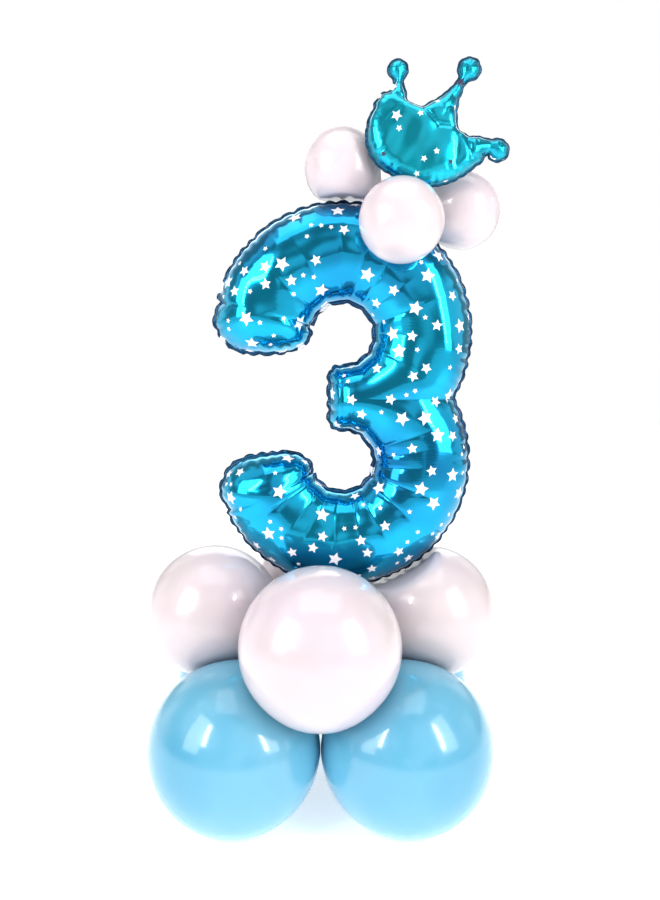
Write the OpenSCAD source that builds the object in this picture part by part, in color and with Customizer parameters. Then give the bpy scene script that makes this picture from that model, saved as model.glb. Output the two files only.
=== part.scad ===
// Number-balloon column.
// A foil figure 3 stands in a nest of four white latex balloons on four pale blue ones. A ring of
// four mini balloons straddles the top of the figure and carries a small foil crown.
// The origin is on the floor, under the middle of the whole column. X is to the right of someone
// facing the figure, Y points away from them and Z is up. Sizes are in millimetres.

/* [Foil figure] */
// Radius of each bowl, out to the edge of the welded margin
bowl_r = 234; // [200:1:245]
// Radius of the clear hole in each bowl
hole_r = 52; // [42:1:60]
// Height of the upper bowl's centre above the lower one's
bowl_pitch = 228; // [210:1:250]
// Front-to-back thickness of the inflated figure
figure_depth = 138; // [110:1:150]
// How far the middle stroke reaches left of the bowls' centres
stub_reach = 29; // [15:1:60]
// Polar angle at which the upper arm ends
upper_arm_deg = 196; // [175:1:200]
// Polar angle at which the lower arm ends
lower_arm_deg = 187; // [175:1:195]
// How far round its inner corner an arm reaches past its middle
arm_skew = 9; // [0:1:12]
// Length over which an arm's corners are rounded
corner_len = 46; // [25:1:60]
// Sideways place of the figure's bowls
figure_x = 32; // [20:1:44]
// Height of the lower bowl's centre above the floor
figure_z = 612; // [600:1:640]

/* [Foil] */
// Wall of the foil skins
film_t = 1.0; // [0.8:0.1:1.5]
// Width of the welded margin outside the seam
weld_w = 6; // [4:0.5:9]
// Thickness of the two skins welded together
weld_t = 0.8; // [0.6:0.1:1.2]
// Width of an inflation tail
tail_w = 26; // [18:1:34]
// Thickness of the clear valve sleeve inside a tail
valve_t = 0.4; // [0.3:0.1:0.6]

/* [Latex balloons] */
// Wall of the latex skins
latex_t = 0.6; // [0.5:0.1:1.0]
// Radius of a blue balloon across its neck's axis
blue_r = 147; // [125:1:150]
// How far two neighbouring blue balloons press into each other, halved
blue_press = 0.63; // [0.3:0.01:2]
// Height of the blue balloons' axes above the floor
blue_z = 138; // [132:1:141]
// Radius of the front and back white balloons
white_r = 133; // [115:1:136]
// Radius of the side white balloons
side_r = 122; // [110:1:128]
// Distance of a white balloon's widest ring from the column's axis
white_out = 198; // [190:1:215]
// Height of the white balloons' axes above the floor
white_z = 330; // [322:1:345]
// Radius of a mini balloon
mini_r = 69; // [58:1:72]
// Sideways place of the column's axis
base_x = -6; // [-16:1:4]
// Outer radius of a big balloon's tied neck
neck_r = 5; // [4:0.5:6]
// Outer radius of a mini balloon's tied neck
mini_neck_r = 3.5; // [3:0.5:4.5]

/* [Crown] */
// Half of the crown band's width
crown_half = 99; // [90:1:112]
// Height of the crown band above its own centre
crown_top = 37; // [32:1:46]
// Depth of the crown band below its own centre
crown_drop = 79; // [70:1:90]
// Front-to-back thickness of the crown band
crown_depth = 62; // [50:1:70]
// Radius of the ball at the end of a spike
spike_ball_r = 15; // [12:0.5:17]
// Lean of the crown to the right
crown_lean = 29; // [24:1:32]

/* [Ties and gaps] */
// Width of the ribbon
ribbon_w = 5; // [4:0.5:7]
// Thickness of the ribbon
ribbon_t = 0.5; // [0.4:0.1:0.8]
// Gap left between skins that press on each other
touch_gap = 0.4; // [0.3:0.1:0.8]
// Gap that a glue dot fills
glue_gap = 1.2; // [1.0:0.1:1.8]
// Thickness of a glue dot
glue_t = 0.6; // [0.4:0.1:1.0]
// Radius of a glue dot
glue_r = 4; // [3:0.5:7]

/* [Hidden] */
$fn = 64;

blue = "skyblue";
pearl = "white";
foil = "deepskyblue";
clear = "gainsboro";

big = 900;          // side of the blocks that cut flats, larger than anything they cut
arc_step = 12;      // degrees between the rows of a bowl's skin

tube_w = (bowl_r - hole_r) / 2 - weld_w;    // half-width of a bowl's stroke, seam to seam
tube_mid = (bowl_r + hole_r) / 2;           // radius of a bowl's centre line
tube_t = figure_depth / 2;
stub_mid = bowl_pitch / 2;                  // radius of the centre line where it turns into the stub
stub_w = stub_mid - hole_r - weld_w;
stub_t = tube_t * 0.78;
waist_deg = -asin(stub_mid / bowl_r);       // where the two bowls' outlines cross
upper = [figure_x, figure_z + bowl_pitch];  // bowl centres, as [x, z]
lower = [figure_x, figure_z];

blue_tip = 147;     // from the widest ring to the round end
blue_turns = [225, 315, 135, 45];
white_turns = [270, 0, 90, 180];
hub_r = 11;         // where the knots start, from the hub's axis
knot_len = 11;      // length of a knot along its neck
knot_r = 8.5;
neck_start = hub_r + knot_len + touch_gap;
mini_hub_r = 7;
mini_knot_len = 8;
mini_knot_r = 6;
mini_neck_start = mini_hub_r + mini_knot_len + touch_gap;
full_back = 40;     // how far behind its widest ring a big balloon stays round
long_back = 60;     // the same of a mini balloon, which is pulled out on a long thin neck
mini_taper = 27;    // length over which a mini balloon tapers to its neck

// ---------- vectors ----------
function unit(v) = v / norm(v);
function polar(c, r, a, y = 0) = [c[0] + r * cos(a), y, c[1] + r * sin(a)];
function lerp(a, b, u) = a + (b - a) * u;
function smooth(u) = u * u * (3 - 2 * u);

module look_along(v) {
  rotate([0, acos(v[2] / norm(v)), atan2(v[1], v[0])]) children();
}

// Everything past the plane through p with outward normal n, less an inset
module beyond(p, n, inset = 0) {
  translate(p - inset * unit(n)) look_along(n)
    translate([-big / 2, -big / 2, 0]) cube(big);
}

// ---------- where the balloons sit ----------
base_axis = [base_x, 0];
function ring_point(turn, out, z) = [base_x + out * cos(turn), out * sin(turn), z];
// From the column's axis to a blue balloon's widest ring
blue_out = (blue_r - blue_press) * sqrt(2);
blue_centres = [for (t = blue_turns) ring_point(t, blue_out, blue_z)];
white_radii = [white_r, side_r, white_r, side_r];
white_centres = [for (t = white_turns) ring_point(t, white_out, white_z)];

// The flat on which two pressed balloons meet lies where their spheres cross
function flat_from(a, ra, b, rb) =
  let (d = norm(b - a)) [a + unit(b - a) * (d * d + ra * ra - rb * rb) / (2 * d), b - a];

// The mini ring's hub stands over the upper bowl's shoulder
hub_deg = 64;
hub_lift = 14;
topper_hub = polar(upper, bowl_r + hub_lift, hub_deg);
saddle_deg = 62.4;   // where the front and back mini balloons touch the figure
saddle_face = 66;   // how far round the stroke's section they touch
left_deg = 90;      // where the left and right mini balloons sit on the bowl's edge
right_deg = 46;
left_sink = 16;     // how deep the bowl's edge presses into the left one

function saddle_point(side) = polar(
  upper, tube_mid + tube_w * cos(saddle_face), saddle_deg, side * tube_t * sin(saddle_face));
function saddle_normal(side) = let (
    out = cos(saddle_face) / tube_w,
    deep = sin(saddle_face) / tube_t)
  unit([out * cos(saddle_deg), side * deep, out * sin(saddle_deg)]);
function saddle_ball(side) = saddle_point(side) + saddle_normal(side) * (mini_r + glue_gap);
mini_centres = [
  saddle_ball(-1),
  polar(upper, bowl_r + glue_gap + mini_r, right_deg, 14),
  saddle_ball(1),
  polar(upper, bowl_r + glue_gap + mini_r - left_sink, left_deg, -4)
];

// ---------- latex balloons ----------
function bezier(a, b, c, d, u) =
  a * pow(1 - u, 3) + b * 3 * u * pow(1 - u, 2) + c * 3 * u * u * (1 - u) + d * pow(u, 3);

// Half outline from the round end to the tied end, as [radius, distance along the axis]. The belly
// is round to back degrees behind its widest ring, and then tapers to the neck.
function pear(r, tip, mid, nr, start, back, end) = let (
    a = [r * cos(back), mid - r * sin(back)],
    long = min(0.85 * (a[1] - start), back == long_back ? mini_taper : a[1]),
    shoulder = a[1] - long)
  concat(
    [for (t = [90:-7.5:0]) [t == 90 ? 0 : r * cos(t), mid + tip * sin(t)]],
    [for (t = [back/5:back/5:back + 0.1]) [r * cos(t), mid - r * sin(t)]],
    [for (u = [1/9:1/9:1.001]) bezier(a, a - long / 2 * [sin(back), cos(back)],
      [nr, shoulder + long * 0.35], [nr, shoulder], u)],
    [[nr, end], [0, end]]);

// A skin cut flat where it is pressed, with its neck open towards the hub.
// flats is a list of [point, normal]; children() is anything else that dents it, drawn for
// each of the two surfaces by the caller's own inset.
module pear_solid(hub, centre, r, tip, nr, start, back, inset, flats) {
  mid = norm(centre - hub);
  difference() {
    translate(hub) look_along(centre - hub)
      rotate_extrude() polygon(pear(r - inset, tip - inset, mid, nr - inset, start, back,
        inset > 0 ? start - 1 : start));
    for (f = flats) beyond(f[0], f[1], inset + touch_gap / 2);
  }
}

module latex(hub, centre, r, tip, nr, start, back, flats, dent = [0, 0, 0]) {
  difference() {
    pear_solid(hub, centre, r, tip, nr, start, back, 0, flats);
    if (dent[2] > 0) bowl_dent(dent, 0);
    difference() {
      pear_solid(hub, centre, r, tip, nr, start, back, latex_t, flats);
      if (dent[2] > 0) bowl_dent(dent, latex_t);
    }
  }
}

// The groove that a bowl's edge presses into a balloon: dent is [x, z, radius]
module bowl_dent(dent, inset) {
  translate([dent[0], 0, dent[1]]) rotate([90, 0, 0])
    cylinder(r = dent[2] + inset, h = big, center = true, $fn = 180);
}

module blue_balloon(i) {
  hub = [base_x, 0, blue_z];
  c = blue_centres[i];
  near_white = [for (k = [0:3]) if (norm(white_centres[k] - c) < blue_tip + white_r + touch_gap) k];
  near_blue = [for (k = [0:3]) if (k != i && norm(blue_centres[k] - c) < 2 * blue_tip + touch_gap) k];
  color(blue) latex(hub, c, blue_r, blue_tip, neck_r, neck_start, full_back, concat(
    [for (k = near_white) flat_from(c, blue_r, white_centres[k], white_radii[k])],
    [for (k = near_blue) flat_from(c, blue_r, blue_centres[k], blue_r)],
    [[[c[0], c[1], -touch_gap / 2], [0, 0, -1]]]));
}

module white_balloon(i) {
  hub = [base_x, 0, white_z];
  c = white_centres[i];
  near_blue = [for (k = [0:3]) if (norm(blue_centres[k] - c) < blue_tip + white_r + touch_gap) k];
  pressed = norm([c[0] - lower[0], c[2] - lower[1]]) < bowl_r + glue_gap + white_radii[i]
    && abs(c[1]) < white_radii[i];
  color(pearl) latex(hub, c, white_radii[i], white_radii[i], neck_r, neck_start, full_back,
    [for (k = near_blue) flat_from(c, white_radii[i], blue_centres[k], blue_r)],
    pressed ? [lower[0], lower[1], bowl_r + glue_gap] : [0, 0, 0]);
}

module mini_balloon(i) {
  color(pearl) latex(topper_hub, mini_centres[i], mini_r, mini_r, mini_neck_r, mini_neck_start,
    long_back, [], i == 3 ? [upper[0], upper[1], bowl_r + glue_gap] : [0, 0, 0]);
}

// ---------- knots ----------
// A tied neck: a fat turn of latex, then the rolled lip of the mouth hanging below it
module knot(hub, v, start, len, r, nr) {
  lip = r * 0.62;
  fat = r / 2 - 0.2;
  translate(hub) look_along(v) {
    translate([0, 0, start + len / 2]) {
      cylinder(r = nr, h = len, center = true);
      rotate_extrude() translate([r - fat, 0]) circle(r = fat);
    }
  }
  translate(hub + unit([v[0], v[1], 0]) * (start + len / 2)) {
    translate([0, 0, -2.2 * r]) cylinder(r = lip - 1, h = 2.2 * r);
    translate([0, 0, -2.2 * r]) rotate_extrude() translate([lip, 0]) circle(r = 1.6);
  }
}

module blue_knots() {
  for (t = blue_turns)
    color(blue) knot([base_x, 0, blue_z], [cos(t), sin(t), 0], hub_r, knot_len, knot_r, neck_r - 1);
}

module white_knots() {
  for (t = white_turns)
    color(pearl) knot([base_x, 0, white_z], [cos(t), sin(t), 0], hub_r, knot_len, knot_r, neck_r - 1);
}

module mini_knots() {
  for (c = mini_centres) color(pearl) translate(topper_hub) look_along(c - topper_hub)
    translate([0, 0, mini_hub_r + mini_knot_len / 2]) {
      cylinder(r = mini_neck_r - 1, h = mini_knot_len, center = true);
      rotate_extrude() translate([mini_knot_r - 3, 0]) circle(r = 3, $fn = 32);
    }
}

// ---------- ribbons ----------
// A flat ribbon drawn round a stadium that is wide by high between its inner faces
module ribbon_loop(wide, high) {
  r = wide / 2;
  linear_extrude(ribbon_w, center = true) difference() {
    stadium(r + ribbon_t, high + 2 * ribbon_t);
    stadium(r, high);
  }
}

module stadium(r, high) {
  for (s = [-1, 1]) translate([0, s * (high / 2 - r)]) circle(r = r);
  square([2 * r, high - 2 * r], center = true);
}

// One loop goes between the blue necks and one between the white necks; a run joins them
module base_ribbon() {
  loop_w = 20;
  loop_h = 46;
  run_low = blue_z + loop_h / 2;
  run_high = white_z - loop_h / 2;
  color("white") {
    translate([base_x, 0, blue_z]) rotate([90, 0, 0]) ribbon_loop(loop_w, loop_h);
    translate([base_x, 0, white_z]) rotate([0, 0, 45]) rotate([90, 0, 0])
      ribbon_loop(loop_w, loop_h);
    translate([base_x - ribbon_w / 2, -ribbon_t / 2, run_low])
      cube([ribbon_w, ribbon_t, run_high - run_low]);
  }
}

// The tail comes down over the column's axis and the ribbon is drawn round it
tail_low = white_z + 26;
tail_high = lower[1] - sqrt(pow(bowl_r - weld_w, 2) - pow(base_x - lower[0], 2));
module figure_tie_ribbon() {
  color("white") translate([base_x, 0, tail_low + 8]) {
    rotate([0, 0, 90]) ribbon_loop(weld_t + 2 * touch_gap, tail_w + 2 * touch_gap);
    for (s = [-1, 1]) translate([0, s * (weld_t / 2 + touch_gap + ribbon_t), 0])
      rotate([0, 28 * s, 0]) translate([0, s * ribbon_t / 2, -7])
        cube([ribbon_w - 1, ribbon_t, 12], center = true);
  }
}

// ---------- foil skins ----------
// A skin is made of grids. Each point is [x, z, depth of its outer face, depth of its inner face].
// The face is a bulge that is top deep and wide to each side, so its slope gives the wall's depth.
function skin_point(p, d, top, wide) = let (
    slope = d > 0 ? top * sqrt(max(0, 1 - pow(d / top, 2))) * top / (wide * d) : 0)
  [p[0], p[1], max(d, weld_t / 2), d <= film_t ? 0 : max(0, d - film_t * sqrt(1 + slope * slope))];
function outer_face(p, side) = [p[0], side * p[2], p[1]];
function inner_face(p, side) = [p[0], side * p[3], p[1]];
function flip(t, yes) = yes ? [t[2], t[1], t[0]] : t;
// A four-sided patch is split the same way on both faces of the wall, so that they stay apart
function patch(q, yes) = [flip([q[0], q[1], q[2]], yes), flip([q[0], q[2], q[3]], yes)];
function grid_faces(g, side, yes) = [for (k = [0:len(g) - 2], j = [0:len(g[k]) - 2])
  let (q = [g[k][j], g[k][j + 1], g[k + 1][j + 1], g[k + 1][j]])
    each concat(patch([for (p = q) outer_face(p, side)], yes),
      patch([for (p = q) inner_face(p, side)], !yes))];
function wall_faces(line, side, yes) = [for (i = [0:len(line) - 2])
  each patch([outer_face(line[i + 1], side), inner_face(line[i + 1], side),
    inner_face(line[i], side), outer_face(line[i], side)], yes)];
function column(g, j, last) = [for (k = [0:last]) g[k][j]];

module skin(triangles) {
  n = len(triangles) - 1;
  polyhedron(points = [for (t = triangles) each t], faces = [for (i = [0:n]) [3*i, 3*i + 1, 3*i + 2]],
    convexity = 8);
}

// ---------- foil figure ----------
// A row is [mid radius, polar angle, half-width, half-depth, margin's inner and outer reach].
// The rows run from an arm's end, round the bowl and out along the stub.
swell = 70;         // length over which an arm's end swells to full depth
stub_swell = 45;
stub_corner = 18;
tail_eps = 0.05;
end_turns = [70, 45, 22, 0];

function rise(gap, over) = gap >= over ? 1 : sqrt(max(0, 1 - pow(1 - gap / over, 2)));
function corner(w, r, e) = w - r + sqrt(max(0, r * r - e * e));
// e is how far a row stands past the place where the arm's corners start to round
function arm_row(tip_deg, e) = let (long = corner_len + weld_w)
  [tube_mid, tip_deg - (long - e) / tube_mid * 180 / PI, corner(tube_w, corner_len, min(e, corner_len)),
    tube_t * rise(corner_len - min(e, corner_len), swell), corner(tube_w + weld_w, long, min(e, long)),
    0, arm_skew * smooth((e - corner_len + swell) / (swell + weld_w))];
function arm_rows(tip_deg) = concat(
  [for (e = [corner_len + weld_w, corner_len]) arm_row(tip_deg, e)],
  [for (a = end_turns) arm_row(tip_deg, corner_len * sin(a))],
  [arm_row(tip_deg, corner_len - swell)]);
function bowl_row(a, tail = 0) = [tube_mid, a, tube_w, tube_t, tube_w + weld_w, tail];
function bowl_run(from, to) = let (n = ceil((from - to) / arc_step))
  [for (k = [1:n]) bowl_row(lerp(from, to, k / n))];
function turn_rows() = [for (u = [1/8:1/8:1]) let (v = smooth(u))
  [lerp(tube_mid, stub_mid, v), lerp(waist_deg, -90, u), lerp(tube_w, stub_w, v),
    lerp(tube_t, stub_t, v)]];
tail_degs = [for (s = [-1, 1]) acos((base_x - figure_x + s * tail_w / 2) / bowl_r)];
function tail_rows() = [
  bowl_row(tail_degs[0] + tail_eps), bowl_row(tail_degs[0], 1),
  bowl_row(tail_degs[1], 1), bowl_row(tail_degs[1] - tail_eps)];
function first_deg(tip_deg) = arm_row(tip_deg, corner_len - swell)[1];
rows = [
  concat(arm_rows(upper_arm_deg), bowl_run(first_deg(upper_arm_deg), waist_deg), turn_rows()),
  concat(arm_rows(lower_arm_deg), bowl_run(first_deg(lower_arm_deg), tail_degs[0] + 4),
    tail_rows(), bowl_run(tail_degs[1] - 4, waist_deg), turn_rows())];

// Places across a row: margin, seam, then closer together where the skin is steep
across = [for (a = [0, 10, 24, 42, 64, 90, 116, 138, 156, 170, 180]) -cos(a)];

// c is a place across a row; m = 1 for the upper bowl and -1 for the lower one
function row_point(o, m, r, c) = let (a = r[1] - (len(r) > 6 ? r[6] * c / tube_w : 0))
  [o[0] + (r[0] + c) * cos(a), o[1] + m * (r[0] + c) * sin(a)];
function row_depth(r, c, x) = let (
    q = abs(c) / r[2],
    near_stub = r[1] < waist_deg - 0.01 ? rise(max(0, x - figure_x + stub_reach - weld_w), stub_swell) : 1)
  q >= 1 ? 0 : r[3] * sqrt(1 - q * q) * near_stub;
function full_row(o, m, r) = [for (c = concat([-r[4]], r[2] * across, [r[4]]))
  let (p = row_point(o, m, r, c), end = r[5] == 1 && c == r[4])
    skin_point(end ? [p[0], tail_low] : p, row_depth(r, c, p[0]), tube_t, tube_w)];
// Past the waist a row stops on the line that the two bowls share
function half_row(o, m, r) = let (
    reach = stub_mid / sin(-r[1]) - r[0],
    squeeze = (reach + r[2]) / (2 * r[2] + weld_w))
  [for (c = concat([-r[2] - weld_w], [for (q = across) r[2] * (-1 + (q + 1) * squeeze)], [reach]))
    let (p = row_point(o, m, r, c)) skin_point(p, row_depth(r, c, p[0]), tube_t, tube_w)];
// The stub's rows are straight; e is how far a row stands past the start of its rounded corner
function stub_row(o, m, e) = let (
    in_e = min(e, stub_corner),
    w = corner(stub_w, stub_corner, in_e),
    wf = corner(stub_w + weld_w, stub_corner + weld_w, e),
    x = o[0] - stub_reach + weld_w + stub_corner - e,
    t = stub_t * rise(stub_corner - in_e, stub_swell),
    squeeze = w / (2 * w + weld_w))
  [for (c = concat([-wf], [for (q = across) w * (-1 + (q + 1) * squeeze)], [0]))
    let (q = abs(c) / w)
      skin_point([x, o[1] - m * (stub_mid + c)], q >= 1 ? 0 : t * sqrt(1 - q * q), tube_t, tube_w)];
function stub_rows(o, m) = [for (e = concat([for (a = [4, 22, 45, 70]) stub_corner * sin(a)],
  [stub_corner, stub_corner + weld_w])) stub_row(o, m, e)];

function figure_grid(i) = let (o = i == 0 ? upper : lower, m = i == 0 ? 1 : -1)
  concat([for (r = rows[i]) r[1] > waist_deg - 0.01 ? full_row(o, m, r) : half_row(o, m, r)],
    stub_rows(o, m));
figure_grids = [figure_grid(0), figure_grid(1)];

module figure_film(side) {
  last = len(across) + 1;
  color(foil) skin([for (i = [0, 1]) let (
      g = figure_grids[i],
      yes = (i == 0) == (side > 0),
      end = len(g) - 1,
      waist = len(rows[i]) - len(turn_rows()) - 1)
    each concat(grid_faces(g, side, yes),
      wall_faces(column(g, 0, end), side, yes),
      wall_faces(column(g, last, waist), side, !yes),
      wall_faces(g[0], side, !yes),
      wall_faces(g[end], side, yes))]);
}

// A flat clear sleeve, welded in the mouth of the tail and lying free inside the figure
module valve(wide, long) {
  color(clear) cube([wide, valve_t, long], center = true);
}

module figure_valve() {
  long = 70;
  translate([base_x, 0, tail_high + weld_w + long / 2]) valve(tail_w - 6, long);
}

// ---------- crown ----------
crown_shift = [32, -70, 97];    // from the mini ring's hub to the crown's centre
crown_up = [sin(crown_lean), 0, cos(crown_lean)];
crown_centre = topper_hub + crown_shift;
band_t = crown_depth / 2;
crown_weld = 4;
crown_shear = 0.16; // how far the band's foot hangs to the left, per millimetre of height
side_z = 5;         // where the band's sides turn into its curved foot
// Columns across the band, as parts of its half-width; the first and last are the margin
band_cols = [-1.05, -1, -0.96, -0.9, -0.79, -0.66, -0.58, -0.47, -0.36, -0.3, -0.17, 0,
  0.17, 0.3, 0.36, 0.47, 0.58, 0.66, 0.79, 0.9, 0.96, 1, 1.05];
band_rows = [-1, -0.96, -0.82, -0.55, -0.15, 0.25, 0.6, 0.85, 0.96, 1];
// A spike is [first column, last column, lean, length to its ball's centre, ball's radius]
spikes = [[2, 6, -27, 45, spike_ball_r], [8, 14, 3, 94, spike_ball_r * 1.15],
  [16, 20, 76, 36, spike_ball_r * 1.15]];

function band_high(q) = crown_top - 8 * q * q;
function band_low(q) = side_z - (side_z + crown_drop) * pow(max(0, 1 - pow(abs(q), 2.6)), 0.62);
function band_swell(q) = sqrt(max(0, 1 - q * q));
// Depth of the band's top edge, which swells only where a spike stands on it
function foot_depth(j) = max([for (s = spikes) let (
    mid = (band_cols[s[0]] + band_cols[s[1]]) / 2,
    wide = (band_cols[s[1]] - band_cols[s[0]]) / 2,
    q = abs(band_cols[j] - mid) / wide) q < 1 ? band_t * 0.62 * sqrt(1 - q * q) : 0]);
function band_point(i, j) = let (
    q = max(-1, min(1, band_cols[j])),
    s = band_rows[i],
    high = band_high(q),
    low = band_low(q),
    z = (high + low) / 2 + s * (high - low) / 2,
    d = norm([band_t * band_swell(q) * sqrt(1 - s * s), foot_depth(j) * pow((1 + s) / 2, 2)]))
  skin_point([band_cols[j] * crown_half + crown_shear * (z - crown_top), z],
    abs(band_cols[j]) >= 1 ? 0 : d, band_t, crown_half / 2);
function margin_below(p) = let (v = unit([p[0], p[1] - crown_top])) [p[0] + crown_weld * v[0] * 0.3,
  p[1] - crown_weld, weld_t / 2, 0];
band_grid = let (g = [for (i = [0:len(band_rows) - 1]) [for (j = [0:len(band_cols) - 1]) band_point(i, j)]])
  concat([[for (p = g[0]) margin_below(p)]], g);
band_edge = band_grid[len(band_grid) - 1];
function above(p) = [p[0], p[1] + crown_weld, weld_t / 2, 0];

// Rows of a spike, as [distance along it, half-width], up its flare and round its ball
function spike_rows(s, wide) = let (
    r = s[4],
    neck = 5.5,
    back = sqrt(r * r - neck * neck))
  concat([for (u = [1/5:1/5:1.001]) [(s[3] - back) * u, neck + (wide - neck) * pow(1 - u, 2)]],
    [for (a = [130:-20:10]) [s[3] + r * cos(a), r * sin(a)]],
    [[s[3] + r + crown_weld, r * 0.35]]);
function spike_grid(s) = let (
    a = band_edge[s[0]],
    b = band_edge[s[1]],
    mid = [(a[0] + b[0]) / 2, (a[1] + b[1]) / 2],
    wide = (b[0] - a[0]) / 2,
    n = s[1] - s[0],
    list = spike_rows(s, wide))
  concat([concat([above(a)], [for (j = [s[0]:s[1]]) band_edge[j]], [above(b)])],
    [for (k = [0:len(list) - 1]) let (
        r = list[k],
        lean = s[2] * min(1, (k + 1) / 4),
        o = mid + r[0] * [sin(lean), cos(lean)],
        tip = k == len(list) - 1,
        deep = tip ? 0 : min(r[1], lerp(band_t * 0.62, 8, min(1, r[0] / s[3]))),
        edge = tip ? r[1] * 1.3 : r[1] + crown_weld)
      [for (q = concat([-edge / r[1]], [for (j = [0:n]) -cos(180 * j / n)], [edge / r[1]]))
        let (c = q * r[1], d = abs(q) >= 1 ? 0 : deep * sqrt(1 - q * q))
          skin_point(o + c * [cos(lean), -sin(lean)], d, band_t, crown_half / 2)]]);
spike_grids = [for (s = spikes) spike_grid(s)];
// Between the spikes the band's top edge has its own run of margin
edge_runs = [[0, spikes[0][0]], [spikes[0][1], spikes[1][0]], [spikes[1][1], spikes[2][0]],
  [spikes[2][1], len(band_cols) - 1]];
function edge_grid(r) = [[for (j = [r[0]:r[1]]) band_edge[j]], [for (j = [r[0]:r[1]]) above(band_edge[j])]];
edge_grids = [for (r = edge_runs) edge_grid(r)];

module in_crown() {
  translate(crown_centre) rotate([0, crown_lean, 0]) children();
}

module crown_film(side) {
  yes = side < 0;
  last = len(band_cols) - 1;
  color(foil) in_crown() skin(concat(
    grid_faces(band_grid, side, yes),
    wall_faces(band_grid[0], side, !yes),
    wall_faces(column(band_grid, 0, len(band_grid) - 1), side, yes),
    wall_faces(column(band_grid, last, len(band_grid) - 1), side, !yes),
    [for (g = edge_grids) each concat(grid_faces(g, side, yes), wall_faces(g[1], side, yes))],
    wall_faces(column(edge_grids[0], 0, 1), side, yes),
    wall_faces([for (g = edge_grids[3]) g[len(g) - 1]], side, !yes),
    [for (g = spike_grids) let (top = len(g) - 1, w = len(g[0]) - 1)
      each concat(grid_faces(g, side, yes), wall_faces(column(g, 0, top), side, yes),
        wall_faces(column(g, w, top), side, !yes), wall_faces(g[top], side, yes))]));
}

// The crown's tail is a flat run of the same foil, glued under the band's margin
crown_tail_long = 28;
module crown_tail() {
  color(foil) in_crown()
    translate([-tail_w / 4, -weld_t / 2, -crown_drop - crown_weld - crown_tail_long])
      cube([tail_w / 2, weld_t, crown_tail_long]);
}

module crown_valve() {
  long = 40;
  in_crown() translate([0, 0, crown_weld - crown_drop + long / 2]) valve(tail_w / 2 - 4, long);
}

// A loop drawn round the crown's tail, and the run back over the knots to the mini ring's hub
ribbon_peak = [8, -12, 26];
module strip(a, b) {
  translate(a) look_along(b - a) translate([0, 0, norm(b - a) / 2])
    cube([ribbon_w, ribbon_t, norm(b - a) + ribbon_t], center = true);
}

module topper_ribbon() {
  tied = crown_centre - crown_up * (crown_drop + crown_weld + crown_tail_long - ribbon_w - 3);
  beside = tied + [0, weld_t / 2 + touch_gap + ribbon_t + ribbon_w * 0.18, 0];
  color("white") {
    translate(tied) rotate([0, crown_lean, 0])
      rotate([0, 0, 90]) ribbon_loop(weld_t + 2 * touch_gap, tail_w / 2 + 2 * touch_gap);
    strip(topper_hub, topper_hub + ribbon_peak);
    strip(topper_hub + ribbon_peak, beside);
  }
}

// ---------- glue dots ----------
// Dots on a bowl's edge are short arcs of the gap between it and the balloon that it dents
module edge_dot(c, a) {
  span = glue_r / bowl_r * 180 / PI;
  slack = (glue_gap - glue_t) / 2;
  translate([c[0], 0, c[1]]) rotate([90, 0, 0]) rotate([0, 0, a - span])
    rotate_extrude(angle = 2 * span) translate([bowl_r + slack, -glue_r]) square([glue_t, 2 * glue_r]);
}

module nest_glue_dots() {
  right = white_centres[1];
  a = atan2(right[2] - lower[1], right[0] - lower[0]);
  color(clear) for (d = [-9, 0, 9]) edge_dot(lower, a + d);
}

module topper_glue_dots() {
  color(clear) {
    for (side = [-1, 1])
      translate(saddle_point(side) + saddle_normal(side) * (glue_gap - glue_t) / 2)
        look_along(saddle_normal(side)) cylinder(r = glue_r, h = glue_t - 0.2);
    edge_dot(upper, left_deg);
    edge_dot(upper, right_deg);
  }
}

blue_balloon(0);  // blue_balloon_front_left
blue_balloon(1);  // blue_balloon_front_right
blue_balloon(2);  // blue_balloon_back_left
blue_balloon(3);  // blue_balloon_back_right
white_balloon(0);  // white_balloon_front
white_balloon(1);  // white_balloon_right
white_balloon(2);  // white_balloon_back
white_balloon(3);  // white_balloon_left
mini_balloon(0);  // mini_balloon_front
mini_balloon(1);  // mini_balloon_right
mini_balloon(2);  // mini_balloon_back
mini_balloon(3);  // mini_balloon_left
blue_knots();
white_knots();
mini_knots();
base_ribbon();
figure_tie_ribbon();
topper_ribbon();
figure_film(-1);  // figure_front_film
figure_film(1);  // figure_back_film
figure_valve();
crown_film(-1);  // crown_front_film
crown_film(1);  // crown_back_film
crown_valve();
crown_tail();
nest_glue_dots();
topper_glue_dots();
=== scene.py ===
import math

import bpy
import numpy as np
from mathutils import Matrix, Vector
from mathutils.geometry import delaunay_2d_cdt
from mathutils.kdtree import KDTree


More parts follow.
